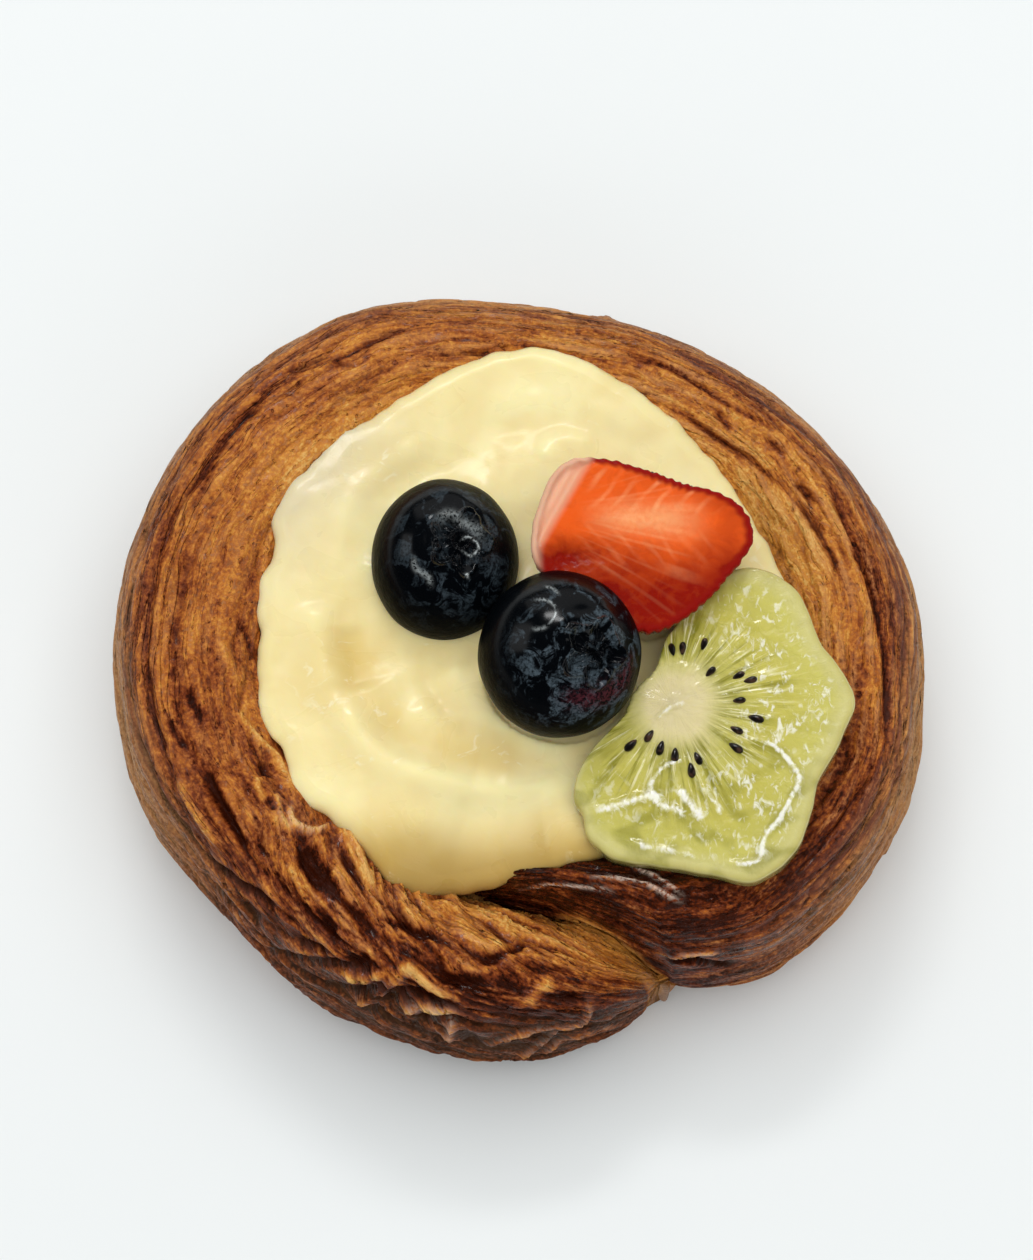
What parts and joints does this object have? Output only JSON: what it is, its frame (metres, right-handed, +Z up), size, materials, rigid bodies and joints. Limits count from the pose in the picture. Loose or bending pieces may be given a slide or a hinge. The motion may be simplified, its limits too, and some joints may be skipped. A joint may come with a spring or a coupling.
{
  "type": "croissant tart",
  "caption": "Round tart of coiled croissant dough, filled with custard and topped with blueberries, halved strawberry and sliced kiwi.",
  "frame": {"origin": "middle of the tart's box on the plane it rests on", "axes": "+Z up out of the filling; -Y towards the front, where the two ends of the dough rope lie side by side; +X towards the kiwi side"},
  "size_m": [0.0998, 0.0952, 0.0405],
  "materials": {
    "pastry": "baked laminated dough, golden to dark brown, thinly glazed",
    "custard": "pale yellow set custard, moist",
    "blueberry": "dark blue skin, glazed",
    "strawberry": "cut red flesh, glazed",
    "kiwi": "cut green flesh with dark seeds, glazed"
  },
  "bodies": {
    "root": {"pastry": "pastry", "custard": "custard", "blueberry_left": "blueberry", "blueberry_right": "blueberry", "strawberry_half": "strawberry", "kiwi_slice": "kiwi"}
  },
  "joints": []
}
